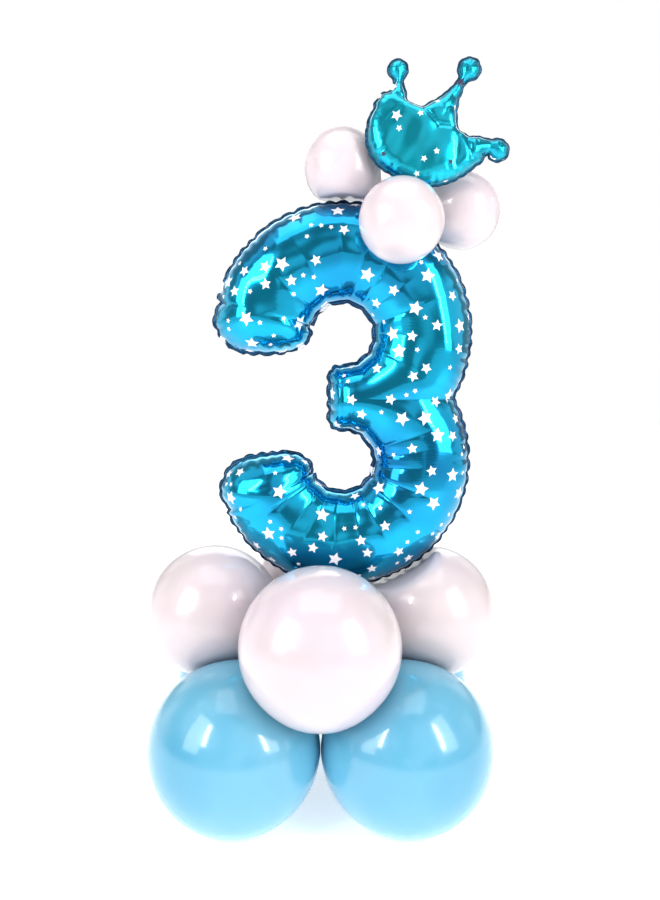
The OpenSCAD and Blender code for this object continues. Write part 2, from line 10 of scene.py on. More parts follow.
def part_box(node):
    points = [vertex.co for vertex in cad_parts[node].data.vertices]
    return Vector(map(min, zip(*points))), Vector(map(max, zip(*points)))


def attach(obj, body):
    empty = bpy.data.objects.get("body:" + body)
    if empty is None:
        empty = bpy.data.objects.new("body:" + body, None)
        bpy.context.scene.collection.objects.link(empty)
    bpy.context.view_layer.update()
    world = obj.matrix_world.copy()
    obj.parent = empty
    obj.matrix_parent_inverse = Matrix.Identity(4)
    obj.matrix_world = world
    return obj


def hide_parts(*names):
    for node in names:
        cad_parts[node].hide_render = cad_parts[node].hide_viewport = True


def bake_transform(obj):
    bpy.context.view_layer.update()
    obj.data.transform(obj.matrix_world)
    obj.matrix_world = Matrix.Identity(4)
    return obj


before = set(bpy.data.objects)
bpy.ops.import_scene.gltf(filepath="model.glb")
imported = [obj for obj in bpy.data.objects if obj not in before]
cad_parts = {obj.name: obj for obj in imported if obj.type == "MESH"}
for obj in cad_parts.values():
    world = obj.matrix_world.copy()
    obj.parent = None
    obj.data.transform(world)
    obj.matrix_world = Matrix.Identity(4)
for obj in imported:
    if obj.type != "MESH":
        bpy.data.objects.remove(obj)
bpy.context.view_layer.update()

# ---- Camera ----
# The column is seen from straight in front, a little above its middle, looking slightly down.
camera_data = bpy.data.cameras.new("camera")
camera_data.lens = 33.2
camera_data.sensor_width = 36
camera = bpy.data.objects.new("camera", camera_data)
camera.location = (0.010, -1.5, 0.8)
camera.rotation_euler = (math.pi / 2 - 0.112, 0, 0)
bpy.context.collection.objects.link(camera)
bpy.context.scene.camera = camera

# ---- Studio floor and light ----
# A plain pale floor, a wide and a narrow soft box in front on each side, one overhead and one behind.
# Latex and foil show them as long bright panes, with the patchy grey of a studio room between.
floor_mesh = bpy.data.meshes.new("floor")
floor_mesh.from_pydata([(-8, -8, 0), (8, -8, 0), (8, 8, 0), (-8, 8, 0)], [], [(0, 1, 2, 3)])
floor = bpy.data.objects.new("floor", floor_mesh)
bpy.context.collection.objects.link(floor)
floor_paint = bpy.data.materials.new("floor_paint")
floor_paint.use_nodes = True
floor_paint.node_tree.nodes["Principled BSDF"].inputs["Base Color"].default_value = (0.93, 0.93, 0.93, 1)
floor_paint.node_tree.nodes["Principled BSDF"].inputs["Roughness"].default_value = 0.8
floor_paint.node_tree.nodes["Principled BSDF"].inputs["Emission Color"].default_value = (1, 1, 1, 1)
floor_paint.node_tree.nodes["Principled BSDF"].inputs["Emission Strength"].default_value = 0.6
floor_mesh.materials.append(floor_paint)


def soft_box(name, place, aim, wide, tall, watts):
    lamp = bpy.data.lights.new(name, "AREA")
    lamp.shape, lamp.size, lamp.size_y, lamp.energy = "RECTANGLE", wide, tall, watts
    obj = bpy.data.objects.new(name, lamp)
    obj.location = place
    obj.rotation_euler = (Vector(aim) - Vector(place)).to_track_quat("-Z", "Y").to_euler()
    bpy.context.collection.objects.link(obj)


soft_box("left_box", (-1.7, -1.3, 1.35), (0, 0, 0.6), 0.9, 1.7, 17)
soft_box("right_box", (1.7, -1.3, 1.35), (0, 0, 0.6), 0.9, 1.7, 15)
soft_box("left_pane", (-1.3, -1.7, 1.5), (0, 0, 0.8), 0.22, 1.1, 15)
soft_box("right_pane", (1.45, -1.5, 1.3), (0, 0, 0.8), 0.20, 1.2, 15)
soft_box("top_box", (0, -0.4, 3.0), (0, 0, 0.5), 2.2, 1.8, 22)
soft_box("back_box", (0, 2.6, 2.0), (0, 0, 0.7), 3.0, 1.6, 22)

world = bpy.data.worlds.new("studio")
world.use_nodes = True
bpy.context.scene.world = world
nodes, links = world.node_tree.nodes, world.node_tree.links
nodes.clear()
where = nodes.new("ShaderNodeTexCoord")
split = nodes.new("ShaderNodeSeparateXYZ")
links.new(where.outputs["Generated"], split.inputs[0])
fade = nodes.new("ShaderNodeMapRange")
fade.inputs["From Min"].default_value, fade.inputs["From Max"].default_value = -0.9, 0.5
fade.inputs["To Min"].default_value, fade.inputs["To Max"].default_value = 0.95, 1.1
links.new(split.outputs["Y"], fade.inputs["Value"])
clutter = nodes.new("ShaderNodeTexNoise")
clutter.inputs["Scale"].default_value, clutter.inputs["Detail"].default_value = 1.7, 1
links.new(where.outputs["Generated"], clutter.inputs["Vector"])
patchy = nodes.new("ShaderNodeMapRange")
patchy.inputs["From Min"].default_value, patchy.inputs["From Max"].default_value = 0.42, 0.58
patchy.inputs["To Min"].default_value, patchy.inputs["To Max"].default_value = 0.45, 1.35
links.new(clutter.outputs["Fac"], patchy.inputs["Value"])
glow = nodes.new("ShaderNodeMath")
glow.operation = "MULTIPLY"
links.new(fade.outputs[0], glow.inputs[0])
links.new(patchy.outputs[0], glow.inputs[1])
room = nodes.new("ShaderNodeBackground")
links.new(glow.outputs[0], room.inputs["Strength"])
backdrop = nodes.new("ShaderNodeBackground")
backdrop.inputs["Color"].default_value, backdrop.inputs["Strength"].default_value = (1, 1, 1, 1), 1.0
ray = nodes.new("ShaderNodeLightPath")
spill = nodes.new("ShaderNodeBackground")
spill.inputs["Strength"].default_value = 0.50
dim = nodes.new("ShaderNodeMixShader")
links.new(ray.outputs["Is Diffuse Ray"], dim.inputs[0])
links.new(room.outputs[0], dim.inputs[1])
links.new(spill.outputs[0], dim.inputs[2])
pick = nodes.new("ShaderNodeMixShader")
links.new(ray.outputs["Is Camera Ray"], pick.inputs[0])
links.new(dim.outputs[0], pick.inputs[1])
links.new(backdrop.outputs[0], pick.inputs[2])
out = nodes.new("ShaderNodeOutputWorld")
links.new(pick.outputs[0], out.inputs["Surface"])
bpy.context.scene.view_settings.view_transform = "Standard"

# ---- Blue balloons ----
# Four dipped latex balloons, blown to about 294 mm and tied neck to neck in two pairs. The skin is
# thin and even on the belly, and thicker, so deeper in colour, at the round end and near the neck.
base_x = -0.006
blue_r, blue_tip, blue_out, blue_z = 0.147, 0.147, 0.207, 0.138
neck_r, neck_end = 0.005, 0.0224
white_z, white_out = 0.330, 0.198
white_radius = {"front": 0.133, "right": 0.122, "back": 0.133, "left": 0.122}
touch_gap = 0.0004


def ring_place(degrees, reach, height):
    turn = math.radians(degrees)
    return np.array([base_x + reach * math.cos(turn), reach * math.sin(turn), height])


blue_places = {"front_left": 225, "front_right": 315, "back_right": 45, "back_left": 135}
blue_places = {k: ring_place(v, blue_out, blue_z) for k, v in blue_places.items()}
white_places = {"front": 270, "right": 0, "back": 90, "left": 180}
white_places = {k: ring_place(v, white_out, white_z) for k, v in white_places.items()}


def pear_outline(r, tip, reach, neck_r, neck_end, back, taper):
    """Half outline of a tied balloon, as (radius, distance from the hub), neck first. The belly
    is round to back degrees behind its widest ring, and then tapers to the neck."""
    sine, cosine = math.sin(math.radians(back)), math.cos(math.radians(back))
    start = np.array([r * cosine, reach - r * sine])
    long = min(0.85 * (start[1] - neck_end), taper)
    shoulder = start[1] - long
    line = [(neck_r, neck_end + (shoulder - neck_end) * u) for u in np.linspace(0, 1, 4)[:-1]]
    control = ((neck_r, shoulder), (neck_r, shoulder + long * 0.35),
               start - long / 2 * np.array([sine, cosine]), start)
    for u in np.linspace(0, 1, 26)[:-1]:
        weights = ((1 - u) ** 3, 3 * u * (1 - u) ** 2, 3 * u * u * (1 - u), u ** 3)
        line.append(tuple(sum(w * c[i] for w, c in zip(weights, control)) for i in (0, 1)))
    for a in np.radians(np.linspace(-back, 0, 16)[:-1]):
        line.append((r * math.cos(a), reach + r * math.sin(a)))
    for a in np.linspace(0, math.pi / 2, 34):
        line.append((max(r * math.cos(a), 0.0), reach + tip * math.sin(a)))
    return line


def blow_latex(name, hub, centre, r, tip, neck_r, neck_end, presses, bowl=None, back=40, taper=1.0, around=96):
    """A balloon skin from its neck to its round end. presses are (point, outward normal) of the
    flats where it meets others; bowl is (x, z, radius) of a foil edge that presses into it."""
    axis = centre - hub
    reach = float(np.linalg.norm(axis))
    axis = axis / reach
    side = np.cross(axis, (0.0, 0.0, 1.0) if abs(axis[2]) < 0.9 else (1.0, 0.0, 0.0))
    side /= np.linalg.norm(side)
    up = np.cross(side, axis)
    line = pear_outline(r, tip, reach, neck_r, neck_end, back, taper)
    turns = np.linspace(0, 2 * math.pi, around, endpoint=False)
    points = [hub + axis * d + (side * math.cos(t) + up * math.sin(t)) * q for q, d in line[:-1] for t in turns]
    points.append(hub + axis * line[-1][1])
    points = np.array(points)
    soft = 0.010 * r / 0.13
    for spot, normal in presses:
        normal = normal / np.linalg.norm(normal)
        past = (points - spot) @ normal + touch_gap / 2
        curl = min(soft, 0.6 * max(float(past.max()), 0.0001))
        points += ((past - np.sqrt(past ** 2 + curl ** 2)) / 2 - past)[:, None] * normal
    if bowl is not None:
        off = points[:, [0, 2]] - np.array(bowl[:2])
        far = np.linalg.norm(off, axis=1)
        past = bowl[2] - far
        moved = (past - np.sqrt(past ** 2 + soft ** 2)) / 2
        points[:, [0, 2]] = np.array(bowl[:2]) + off * ((bowl[2] - moved) / far)[:, None]
    rings = len(line) - 1
    beside = [(j, (j + 1) % around) for j in range(around)]
    faces = [(i * around + j, i * around + k, (i + 1) * around + k, (i + 1) * around + j)
             for i in range(rings - 1) for j, k in beside]
    faces += [((rings - 1) * around + j, (rings - 1) * around + k, rings * around) for j, k in beside]
    mesh = bpy.data.meshes.new(name)
    mesh.from_pydata(points.tolist(), [], faces)
    mesh.polygons.foreach_set("use_smooth", [True] * len(faces))
    # How far the rubber is drawn out: 0 at the neck, 1 on the belly, less again at the round end
    drawn = []
    for q, d in line:
        belly = min(1.0, q / (0.85 * r))
        drawn.append(belly if d < reach else 1 - 0.55 * max(0.0, (d - reach) / tip - 0.75) / 0.25)
    drawn = [drawn[i] for i in range(rings) for _ in range(around)] + [drawn[-1]]
    attribute = mesh.attributes.new("drawn_out", "FLOAT", "POINT")
    attribute.data.foreach_set("value", drawn)
    obj = bpy.data.objects.new(name, mesh)
    bpy.context.collection.objects.link(obj)
    return obj


def latex(name, belly, thick, rough, scatter, glow):
    """Dipped rubber: belly colour where it is stretched thin, thick colour where it isn't, a faint mottle from the
    dip, random patches of the glow colour that paint a pearly sheen on the pearl rubber and are a deeper random tone
    on the blue, a fine powdery grain, and a glossy washed surface."""
    material = bpy.data.materials.new(name)
    material.use_nodes = True
    nodes, links = material.node_tree.nodes, material.node_tree.links
    skin = nodes["Principled BSDF"]
    drawn = nodes.new("ShaderNodeAttribute")
    drawn.attribute_name = "drawn_out"
    place = nodes.new("ShaderNodeTexCoord")
    mottle = nodes.new("ShaderNodeTexNoise")
    mottle.inputs["Scale"].default_value = 9
    mottle.inputs["Detail"].default_value = 3
    links.new(place.outputs["Object"], mottle.inputs["Vector"])
    shift = nodes.new("ShaderNodeMath")
    shift.operation = "MULTIPLY_ADD"
    shift.inputs[1].default_value, shift.inputs[2].default_value = 0.5, -0.25
    links.new(mottle.outputs["Fac"], shift.inputs[0])
    thin = nodes.new("ShaderNodeMath")
    thin.operation, thin.use_clamp = "ADD", True
    links.new(drawn.outputs["Fac"], thin.inputs[0])
    links.new(shift.outputs[0], thin.inputs[1])
    blend = nodes.new("ShaderNodeMix")
    blend.data_type = "RGBA"
    blend.inputs["A"].default_value, blend.inputs["B"].default_value = (*thick, 1), (*belly, 1)
    links.new(thin.outputs[0], blend.inputs["Factor"])
    # Random patches toward the glow colour: painted pearly sheen on the pearl rubber, a deeper random tone on the
    # blue
    tint = nodes.new("ShaderNodeTexNoise")
    tint.inputs["Scale"].default_value = 4.5
    links.new(place.outputs["Object"], tint.inputs["Vector"])
    tone_and_sheen = nodes.new("ShaderNodeMix")
    tone_and_sheen.data_type = "RGBA"
    tone_and_sheen.inputs["B"].default_value = (*glow, 1)
    spread = nodes.new("ShaderNodeMapRange")
    spread.inputs["From Min"].default_value, spread.inputs["From Max"].default_value = 0.42, 0.68
    spread.inputs["To Max"].default_value = 0.45
    links.new(tint.outputs["Fac"], spread.inputs["Value"])
    links.new(spread.outputs[0], tone_and_sheen.inputs["Factor"])
    links.new(blend.outputs["Result"], tone_and_sheen.inputs["A"])
    links.new(tone_and_sheen.outputs["Result"], skin.inputs["Base Color"])
    grain = nodes.new("ShaderNodeTexNoise")
    grain.inputs["Scale"].default_value = 420
    links.new(place.outputs["Object"], grain.inputs["Vector"])
    ripple = nodes.new("ShaderNodeTexNoise")
    ripple.inputs["Scale"].default_value = 14
    links.new(place.outputs["Object"], ripple.inputs["Vector"])
    height = nodes.new("ShaderNodeMath")
    height.operation = "MULTIPLY_ADD"
    height.inputs[1].default_value = 0.012
    links.new(grain.outputs["Fac"], height.inputs[0])
    links.new(ripple.outputs["Fac"], height.inputs[2])
    bump = nodes.new("ShaderNodeBump")
    bump.inputs["Strength"].default_value, bump.inputs["Distance"].default_value = 0.12, 0.002
    links.new(height.outputs[0], bump.inputs["Height"])
    links.new(bump.outputs[0], skin.inputs["Normal"])
    wear = nodes.new("ShaderNodeMapRange")
    wear.inputs["To Min"].default_value, wear.inputs["To Max"].default_value = rough - 0.05, rough + 0.07
    links.new(grain.outputs["Fac"], wear.inputs["Value"])
    links.new(wear.outputs[0], skin.inputs["Roughness"])
    skin.inputs["Subsurface Weight"].default_value = scatter
    skin.inputs["Subsurface Radius"].default_value = (0.03, 0.03, 0.035)
    skin.inputs["Subsurface Scale"].default_value = 0.35
    skin.inputs["Coat Weight"].default_value = 0.6
    skin.inputs["Coat Roughness"].default_value = 0.06
    return material


blue_latex = latex("blue_latex", (0.14, 0.43, 0.60), (0.02, 0.27, 0.45), 0.17, 0.25, (0.08, 0.36, 0.56))


def flat_between(a, ra, b, rb):
    """The flat where two pressed balloons meet, as (point, normal away from a)."""
    gap = np.linalg.norm(b - a)
    return a + (b - a) / gap * (gap ** 2 + ra ** 2 - rb ** 2) / (2 * gap), b - a


for place, centre in blue_places.items():
    presses = [flat_between(centre, blue_r, c, white_radius[w]) for w, c in white_places.items()
               if np.linalg.norm(c - centre) < blue_tip + white_radius["front"]]
    presses += [flat_between(centre, blue_r, c, blue_r) for c in blue_places.values()
                if 0 < np.linalg.norm(c - centre) < 2 * blue_tip + touch_gap]
    presses.append((np.array([centre[0], centre[1], 0.0]), np.array([0.0, 0.0, -1.0])))
    hub = np.array([base_x, 0, blue_z])
    balloon = blow_latex("blue_balloon_" + place + "_skin", hub, centre, blue_r, blue_tip, neck_r, neck_end, presses)
    balloon.data.materials.append(blue_latex)
    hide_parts("blue_balloon_" + place)
    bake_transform(balloon)

# ---- White balloons ----
# Four smaller latex balloons in a pearl white, tied in a cross over the blue ones and pressed into
# the gaps between them. The right one is dented by the edge of the foil figure that leans on it.
# The last colour, laid on in random patches, is a painted pearly sheen
pearl_latex = latex("pearl_latex", (0.64, 0.56, 0.575), (0.57, 0.50, 0.515), 0.22, 0.3, (0.68, 0.56, 0.65))
lower_bowl = (0.032, 0.612)
upper_bowl = (0.032, 0.840)
bowl_r, glue_gap = 0.234, 0.0012
for place, centre in white_places.items():
    presses = [flat_between(centre, white_radius[place], c, blue_r) for c in blue_places.values()
               if np.linalg.norm(c - centre) < blue_tip + white_radius["front"]]
    hub = np.array([base_x, 0, white_z])
    bowl = (*lower_bowl, bowl_r + glue_gap) if place == "right" else None
    r = white_radius[place]
    balloon = blow_latex("white_balloon_" + place + "_skin", hub, centre, r, r, neck_r, neck_end, presses, bowl)
    balloon.data.materials.append(pearl_latex)
    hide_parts("white_balloon_" + place)
    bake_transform(balloon)

# ---- Mini balloons ----
# Four five-inch balloons of the same pearl latex, tied neck to neck in a ring that sits astride the
# figure's shoulder. The left one is dented by the figure's edge.
mini_r, mini_neck_r, mini_neck_end, mini_back, mini_taper = 0.069, 0.0035, 0.0154, 60, 0.027
tube_w, tube_mid, tube_t = 0.085, 0.143, 0.069


def beside_bowl(degrees, reach, y):
    turn = math.radians(degrees)
    return np.array([upper_bowl[0] + reach * math.cos(turn), y, upper_bowl[1] + reach * math.sin(turn)])


mini_hub = beside_bowl(64, 0.248, 0)
saddle_turn, saddle_face = 62.4, 66


def astride(side):
    """Where a mini balloon rests on the front or back of the figure's tube."""
    face, turn = math.radians(saddle_face), math.radians(saddle_turn)
    spot = beside_bowl(saddle_turn, tube_mid + tube_w * math.cos(face), side * tube_t * math.sin(face))
    lean = np.array([math.cos(face) / tube_w * math.cos(turn), side * math.sin(face) / tube_t,
                     math.cos(face) / tube_w * math.sin(turn)])
    return spot + lean / np.linalg.norm(lean) * (mini_r + glue_gap)


mini_places = {"front": astride(-1), "right": beside_bowl(46, bowl_r + glue_gap + mini_r, 0.014),
               "back": astride(1), "left": beside_bowl(90, bowl_r + glue_gap + mini_r - 0.016, -0.004)}
for place, centre in mini_places.items():
    bowl = (*upper_bowl, bowl_r + glue_gap) if place == "left" else None
    balloon = blow_latex("mini_balloon_" + place + "_skin", mini_hub, centre, mini_r, mini_r, mini_neck_r,
                         mini_neck_end, [], bowl, mini_back, mini_taper)
    balloon.data.materials.append(pearl_latex)
    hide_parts("mini_balloon_" + place)
    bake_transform(balloon)

# ---- Knots ----
# Each neck is stretched, wound once round itself and pulled tight; the rolled lip hangs below it.
for node, material in (("blue_knots", blue_latex), ("white_knots", pearl_latex), ("mini_knots", pearl_latex)):
    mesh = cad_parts[node].data
    mesh.materials.clear()
    mesh.materials.append(material)

# ---- Foil figure ----
# Two sheets of metallised film, cut to the outline of a 3 and heat-welded along a narrow margin.
# Blown hard, the flat sheets can't follow the round tube, so they pucker all along the weld and
# fold into long creases that fan out from the two holes.
hole_r, weld_w, film_half = 0.052, 0.006, 0.0004
stub_reach, stub_mid, stub_w, stub_t = 0.029, 0.114, 0.056, 0.0538
corner_len, stub_corner, arm_skew = 0.046, 0.018, 9
swell, stub_swell = 0.070, 0.045
waist = math.degrees(-math.asin(stub_mid / bowl_r))
figure_x = upper_bowl[0]
row_step, around_half = 0.0025, 44
crease_seed = np.random.default_rng(3)


def rise(gap, over):
    return np.sqrt(np.clip(1 - (1 - np.clip(gap / over, 0, 1)) ** 2, 0, 1))


def rounded(w, r, e):
    return w - r + np.sqrt(np.maximum(0, r * r - e * e))


def ease(u):
    u = np.clip(u, 0, 1)
    return u * u * (3 - 2 * u)


# Places across a stroke from weld to weld, closer together where the film is steep, with the
# margin's middle and its cut edge outside them
section = -np.cos(np.linspace(0, math.pi, around_half))
margins = np.array([0.5, 1.0])


def stroke_rows(bowl, flip, tip_degrees):
    """Rows of (x, z, depth) across the stroke of one bowl: arm end, bowl, turn and middle stub."""
    rows = []

    def add(mid, degrees, w, edge, deep, skew, squeeze_to=None):
        c = np.concatenate([-w - margins[::-1] * (edge - w), section * w, w + margins * (edge - w)])
        if squeeze_to is not None:
            c = (c + w + weld_w) * (squeeze_to + w + weld_w) / (2 * w + 2 * weld_w) - w - weld_w
        turn = np.radians(degrees - skew * c / tube_w)
        x = bowl[0] + (mid + c) * np.cos(turn)
        z = bowl[1] + flip * (mid + c) * np.sin(turn)
        d = deep * np.sqrt(np.clip(1 - (c / w) ** 2, 0, 1))
        if squeeze_to is not None:
            d = d * rise(x - figure_x + stub_reach - weld_w, stub_swell)
        rows.append(np.stack([x, z, d], axis=1))

    long = corner_len + weld_w
    for e in np.append(long - np.array([0, 0.5]) * weld_w, np.linspace(corner_len, corner_len - swell, 26)):
        inner = min(e, corner_len)
        add(tube_mid, tip_degrees - math.degrees((long - e) / tube_mid), rounded(tube_w, corner_len, inner),
            rounded(tube_w + weld_w, long, e), tube_t * rise(corner_len - inner, swell),
            arm_skew * ease((e - corner_len + swell) / (swell + weld_w)))
    start = tip_degrees - math.degrees((long - corner_len + swell) / tube_mid)
    count = int(math.radians(start - waist) * tube_mid / row_step)
    for degrees in np.linspace(start, waist, count)[1:]:
        add(tube_mid, degrees, tube_w, tube_w + weld_w, tube_t, 0)
    for u in np.linspace(0, 1, 44)[1:]:
        v, degrees = ease(u), waist + (-90 - waist) * u
        mid, w = tube_mid + (stub_mid - tube_mid) * v, tube_w + (stub_w - tube_w) * v
        squeeze_to = stub_mid / math.sin(math.radians(-degrees)) - mid
        add(mid, degrees, w, w + weld_w, tube_t + (stub_t - tube_t) * v, 0, squeeze_to)
    for e in np.append(np.linspace(-0.005, stub_corner, 9)[1:], stub_corner + margins * weld_w):
        inner = np.clip(e, 0, stub_corner)
        w, edge = rounded(stub_w, stub_corner, inner), rounded(stub_w + weld_w, stub_corner + weld_w, max(e, 0))
        c = np.concatenate([-w - margins[::-1] * (edge - w), section * w, w + margins * (edge - w)])
        c = (c + edge) / 2 - edge
        x = np.full_like(c, figure_x - stub_reach + weld_w + stub_corner - e)
        d = stub_t * rise(stub_corner - inner, stub_swell) * np.sqrt(np.clip(1 - (c / w) ** 2, 0, 1))
        rows.append(np.stack([x, bowl[1] - flip * (stub_mid + c), d * (e <= stub_corner)], axis=1))
    return np.array(rows)


def sheet_faces(grids):
    """Weld the grids along the line that they share; returns points and four-sided faces."""
    points, faces, base = [], [], 0
    for grid, flipped in grids:
        rows, columns = grid.shape[:2]
        index = base + np.arange(rows * columns).reshape(rows, columns)
        quads = np.stack([index[:-1, :-1], index[1:, :-1], index[1:, 1:], index[:-1, 1:]], axis=-1)
        quads = quads.reshape(-1, 4)
        faces.append(quads[:, ::-1] if flipped else quads)
        points.append(grid.reshape(-1, 3))
        base += rows * columns
    points, faces = np.concatenate(points), np.concatenate(faces)
    spots = np.round(points[:, :2] * 20000).astype(int)
    first, same = np.unique(spots, axis=0, return_index=True, return_inverse=True)[1:]
    return points[first], same.reshape(-1)[faces]


def film_loop(faces):
    """The points round the cut edge of a sheet, in order."""
    sides = faces.shape[1]
    pairs = np.concatenate([faces[:, [i, (i + 1) % sides]] for i in range(sides)])
    used = {(a, b) for a, b in pairs.tolist()}
    step = {a: b for a, b in used if (b, a) not in used}
    here = next(iter(step))
    loop = [here]
    while step[loop[-1]] != here:
        loop.append(step[loop[-1]])
    return loop


def follow_edge(points, faces):
    """For each point of a sheet: how far along its cut edge the nearest place is, how far in from
    it the point lies, and the way inwards from there; and the edge's length."""
    loop = points[film_loop(faces), :2]
    area = np.sum(loop[:, 0] * np.roll(loop[:, 1], -1) - loop[:, 1] * np.roll(loop[:, 0], -1))
    closed = np.vstack([loop, loop[:1]])
    along = np.concatenate([[0], np.cumsum(np.linalg.norm(np.diff(closed, axis=0), axis=1))])
    fine = np.arange(0, along[-1], 0.001)
    edge = np.stack([np.interp(fine, along, closed[:, i]) for i in (0, 1)], axis=1)
    ahead = np.roll(edge, -4, axis=0) - np.roll(edge, 4, axis=0)
    inwards = np.stack([-ahead[:, 1], ahead[:, 0]], axis=1) * np.sign(area)
    inwards /= np.linalg.norm(inwards, axis=1)[:, None]
    tree = KDTree(len(edge))
    for i, spot in enumerate(edge):
        tree.insert((*spot, 0), i)
    tree.balance()
    found = [tree.find((*p, 0)) for p in points[:, :2]]
    nearest = np.array([f[1] for f in found])
    return fine[nearest], np.array([f[2] for f in found]), inwards[nearest], along[-1]


def pucker(points, faces, gap, deep, reach, draw_in):
    """How a sheet puckers along its weld. Each fold is a sharp valley that starts at the weld and
    dies out inside; the weld is drawn in there, which scallops the outline, and the loose margin
    outside it waves. Returns how far each point sinks, moves in (x, z) and waves."""
    place, away, inwards, length = follow_edge(points, faces)
    sink, draw, here = np.zeros(len(points)), np.zeros(len(points)), 0.0
    while here < length - gap * 0.6:
        size, far = crease_seed.uniform(0.5, 1.25), reach * crease_seed.uniform(0.5, 1.5)
        off = np.abs(place - here)
        off = np.minimum(off, length - off)
        line = np.exp(-off / (0.0030 + 0.09 * np.minimum(away, 0.05)))
        fade = np.clip(1 - away / far, 0, 1) ** 0.8 * np.clip((away - 0.002) / 0.012, 0, 1)
        sink += deep * size * line * fade
        draw += draw_in * size * np.exp(-(off / 0.0055) ** 2) * np.exp(-away / 0.012)
        here += gap * crease_seed.uniform(0.7, 1.3)
    wave = 0.0016 * np.sin(place / gap * 4.4 + 2 * np.sin(place / gap)) * np.clip(1 - away / 0.007, 0, 1)
    return sink, inwards * draw[:, None], wave


def fan_folds(points, bowl, flip, first, last, gap):
    """Long folds that fan out from a hole across the tube, between two polar angles in degrees."""
    sink = np.zeros(len(points))
    off = points[:, :2] - np.array(bowl)
    far = np.linalg.norm(off, axis=1)
    turn = np.degrees(np.arctan2(flip * off[:, 1], off[:, 0]))
    turn = np.where(turn < -120, turn + 360, turn)
    here = first
    while here < last:
        reach = crease_seed.uniform(0.45, 0.85) * (bowl_r - hole_r)
        size, skew = crease_seed.uniform(0.0016, 0.0036), crease_seed.uniform(-5, 5)
        run = (far - hole_r) / reach
        beside = np.abs(turn - here - skew * run) * math.pi / 180 * far
        line = np.exp(-beside / (0.0022 + 0.0045 * np.clip(run, 0, 1)))
        sink += size * line * np.clip(run * 5, 0, 1) * np.clip(1 - run, 0, 1) ** 0.7
        here += gap * crease_seed.uniform(0.65, 1.35)
    return sink


def swells(points, height, lengths):
    """The soft uneven bulging of blown film, as a few long waves."""
    total = np.zeros(len(points))
    for span in lengths:
        turn, shift = crease_seed.uniform(0, math.pi), crease_seed.uniform(0, 2 * math.pi)
        along = points[:, 0] * math.cos(turn) + points[:, 1] * math.sin(turn)
        total += np.sin(along / span * 2 * math.pi + shift)
    return total * height


def scatter_stars(spots, areas, sizes):
    """Printed stars: (which face, radius, turn), kept apart from each other, largest first."""
    chosen = []
    for radius, count in sizes:
        tries = crease_seed.choice(len(spots), size=count * 60, p=areas / areas.sum())
        for i in tries:
            if count and all(np.linalg.norm(spots[i] - spots[j]) > 1.1 * (radius + r) + 0.003
                             for j, r, turn in chosen):
                chosen.append((i, radius, crease_seed.uniform(0, 2 * math.pi)))
                count -= 1
    return chosen


def print_stars(mesh, smooth, faces, sizes, dark_share):
    """Give each face corner its place on the nearest star, in star radii, and far away if none.
    dark_share of the stars are in dark ink."""
    corners = smooth[faces]
    spots = corners.mean(axis=1)
    normals = np.cross(corners[:, 2] - corners[:, 0], corners[:, -1] - corners[:, 1])
    areas = np.linalg.norm(normals, axis=1)
    normals /= np.maximum(areas, 1e-12)[:, None]
    places = np.full((*faces.shape, 2), 9.0)
    dark = np.zeros(faces.shape)
    for i, radius, turn in scatter_stars(spots, areas, sizes):
        side = np.cross(normals[i], (0, 0, 1.0))
        side /= max(np.linalg.norm(side), 1e-9)
        up = np.cross(side, normals[i])
        near = (np.linalg.norm(spots - spots[i], axis=1) < 1.5 * radius) & (normals @ normals[i] > 0.2)
        flat = corners[near] - spots[i]
        u, v = flat @ side / radius, flat @ up / radius
        places[near] = np.stack([u * math.cos(turn) - v * math.sin(turn),
                                 u * math.sin(turn) + v * math.cos(turn)], axis=-1)
        dark[near] = crease_seed.random() < dark_share
    layer = mesh.uv_layers.new(name="star_print")
    layer.data.foreach_set("uv", places.reshape(-1))
    attribute = mesh.attributes.new("dark_ink", "FLOAT", "CORNER")
    attribute.data.foreach_set("value", dark.reshape(-1))


def blow_film(name, points, faces, front, back, moved, wave, flat_edge, stars, dark_share=0.0):
    """Join a front and a back sheet at their cut edge. front and back are how far each one stands
    out from the flat; moved shifts both in (x, z); flat_edge is 1 on the welded margin."""
    edge = np.zeros(len(points), bool)
    edge[film_loop(faces)] = True
    flat = points[:, :2] + moved
    film = np.where(edge, 0, film_half)
    halves = [np.stack([flat[:, 0], wave - np.maximum(front, film), flat[:, 1]], axis=1),
              np.stack([flat[:, 0], wave + np.maximum(back, film), flat[:, 1]], axis=1)]
    smooth = [np.stack([points[:, 0], side * points[:, 2], points[:, 1]], axis=1) for side in (-1, 1)]
    count = len(points)
    behind = np.where(edge, np.arange(count), np.arange(count) + count)
    both = np.concatenate([faces, behind[faces][:, ::-1]])
    used, compact = np.unique(both, return_inverse=True)
    mesh = bpy.data.meshes.new(name)
    mesh.from_pydata(np.concatenate(halves)[used].tolist(), [], compact.reshape(both.shape).tolist())
    mesh.polygons.foreach_set("use_smooth", [True] * len(mesh.polygons))
    print_stars(mesh, np.concatenate(smooth), both, stars, dark_share)
    attribute = mesh.attributes.new("margin", "FLOAT", "POINT")
    attribute.data.foreach_set("value", np.concatenate([flat_edge, flat_edge])[used])
    obj = bpy.data.objects.new(name, mesh)
    bpy.context.collection.objects.link(obj)
    return obj


def value_node(nodes, links, operation, *inputs, clamp=False):
    """A math node fed by numbers or sockets; returns its output."""
    node = nodes.new("ShaderNodeMath")
    node.operation, node.use_clamp = operation, clamp
    for socket, given in zip(node.inputs, inputs):
        if isinstance(given, (int, float)):
            socket.default_value = given
        else:
            links.new(given, socket)
    return node.outputs[0]


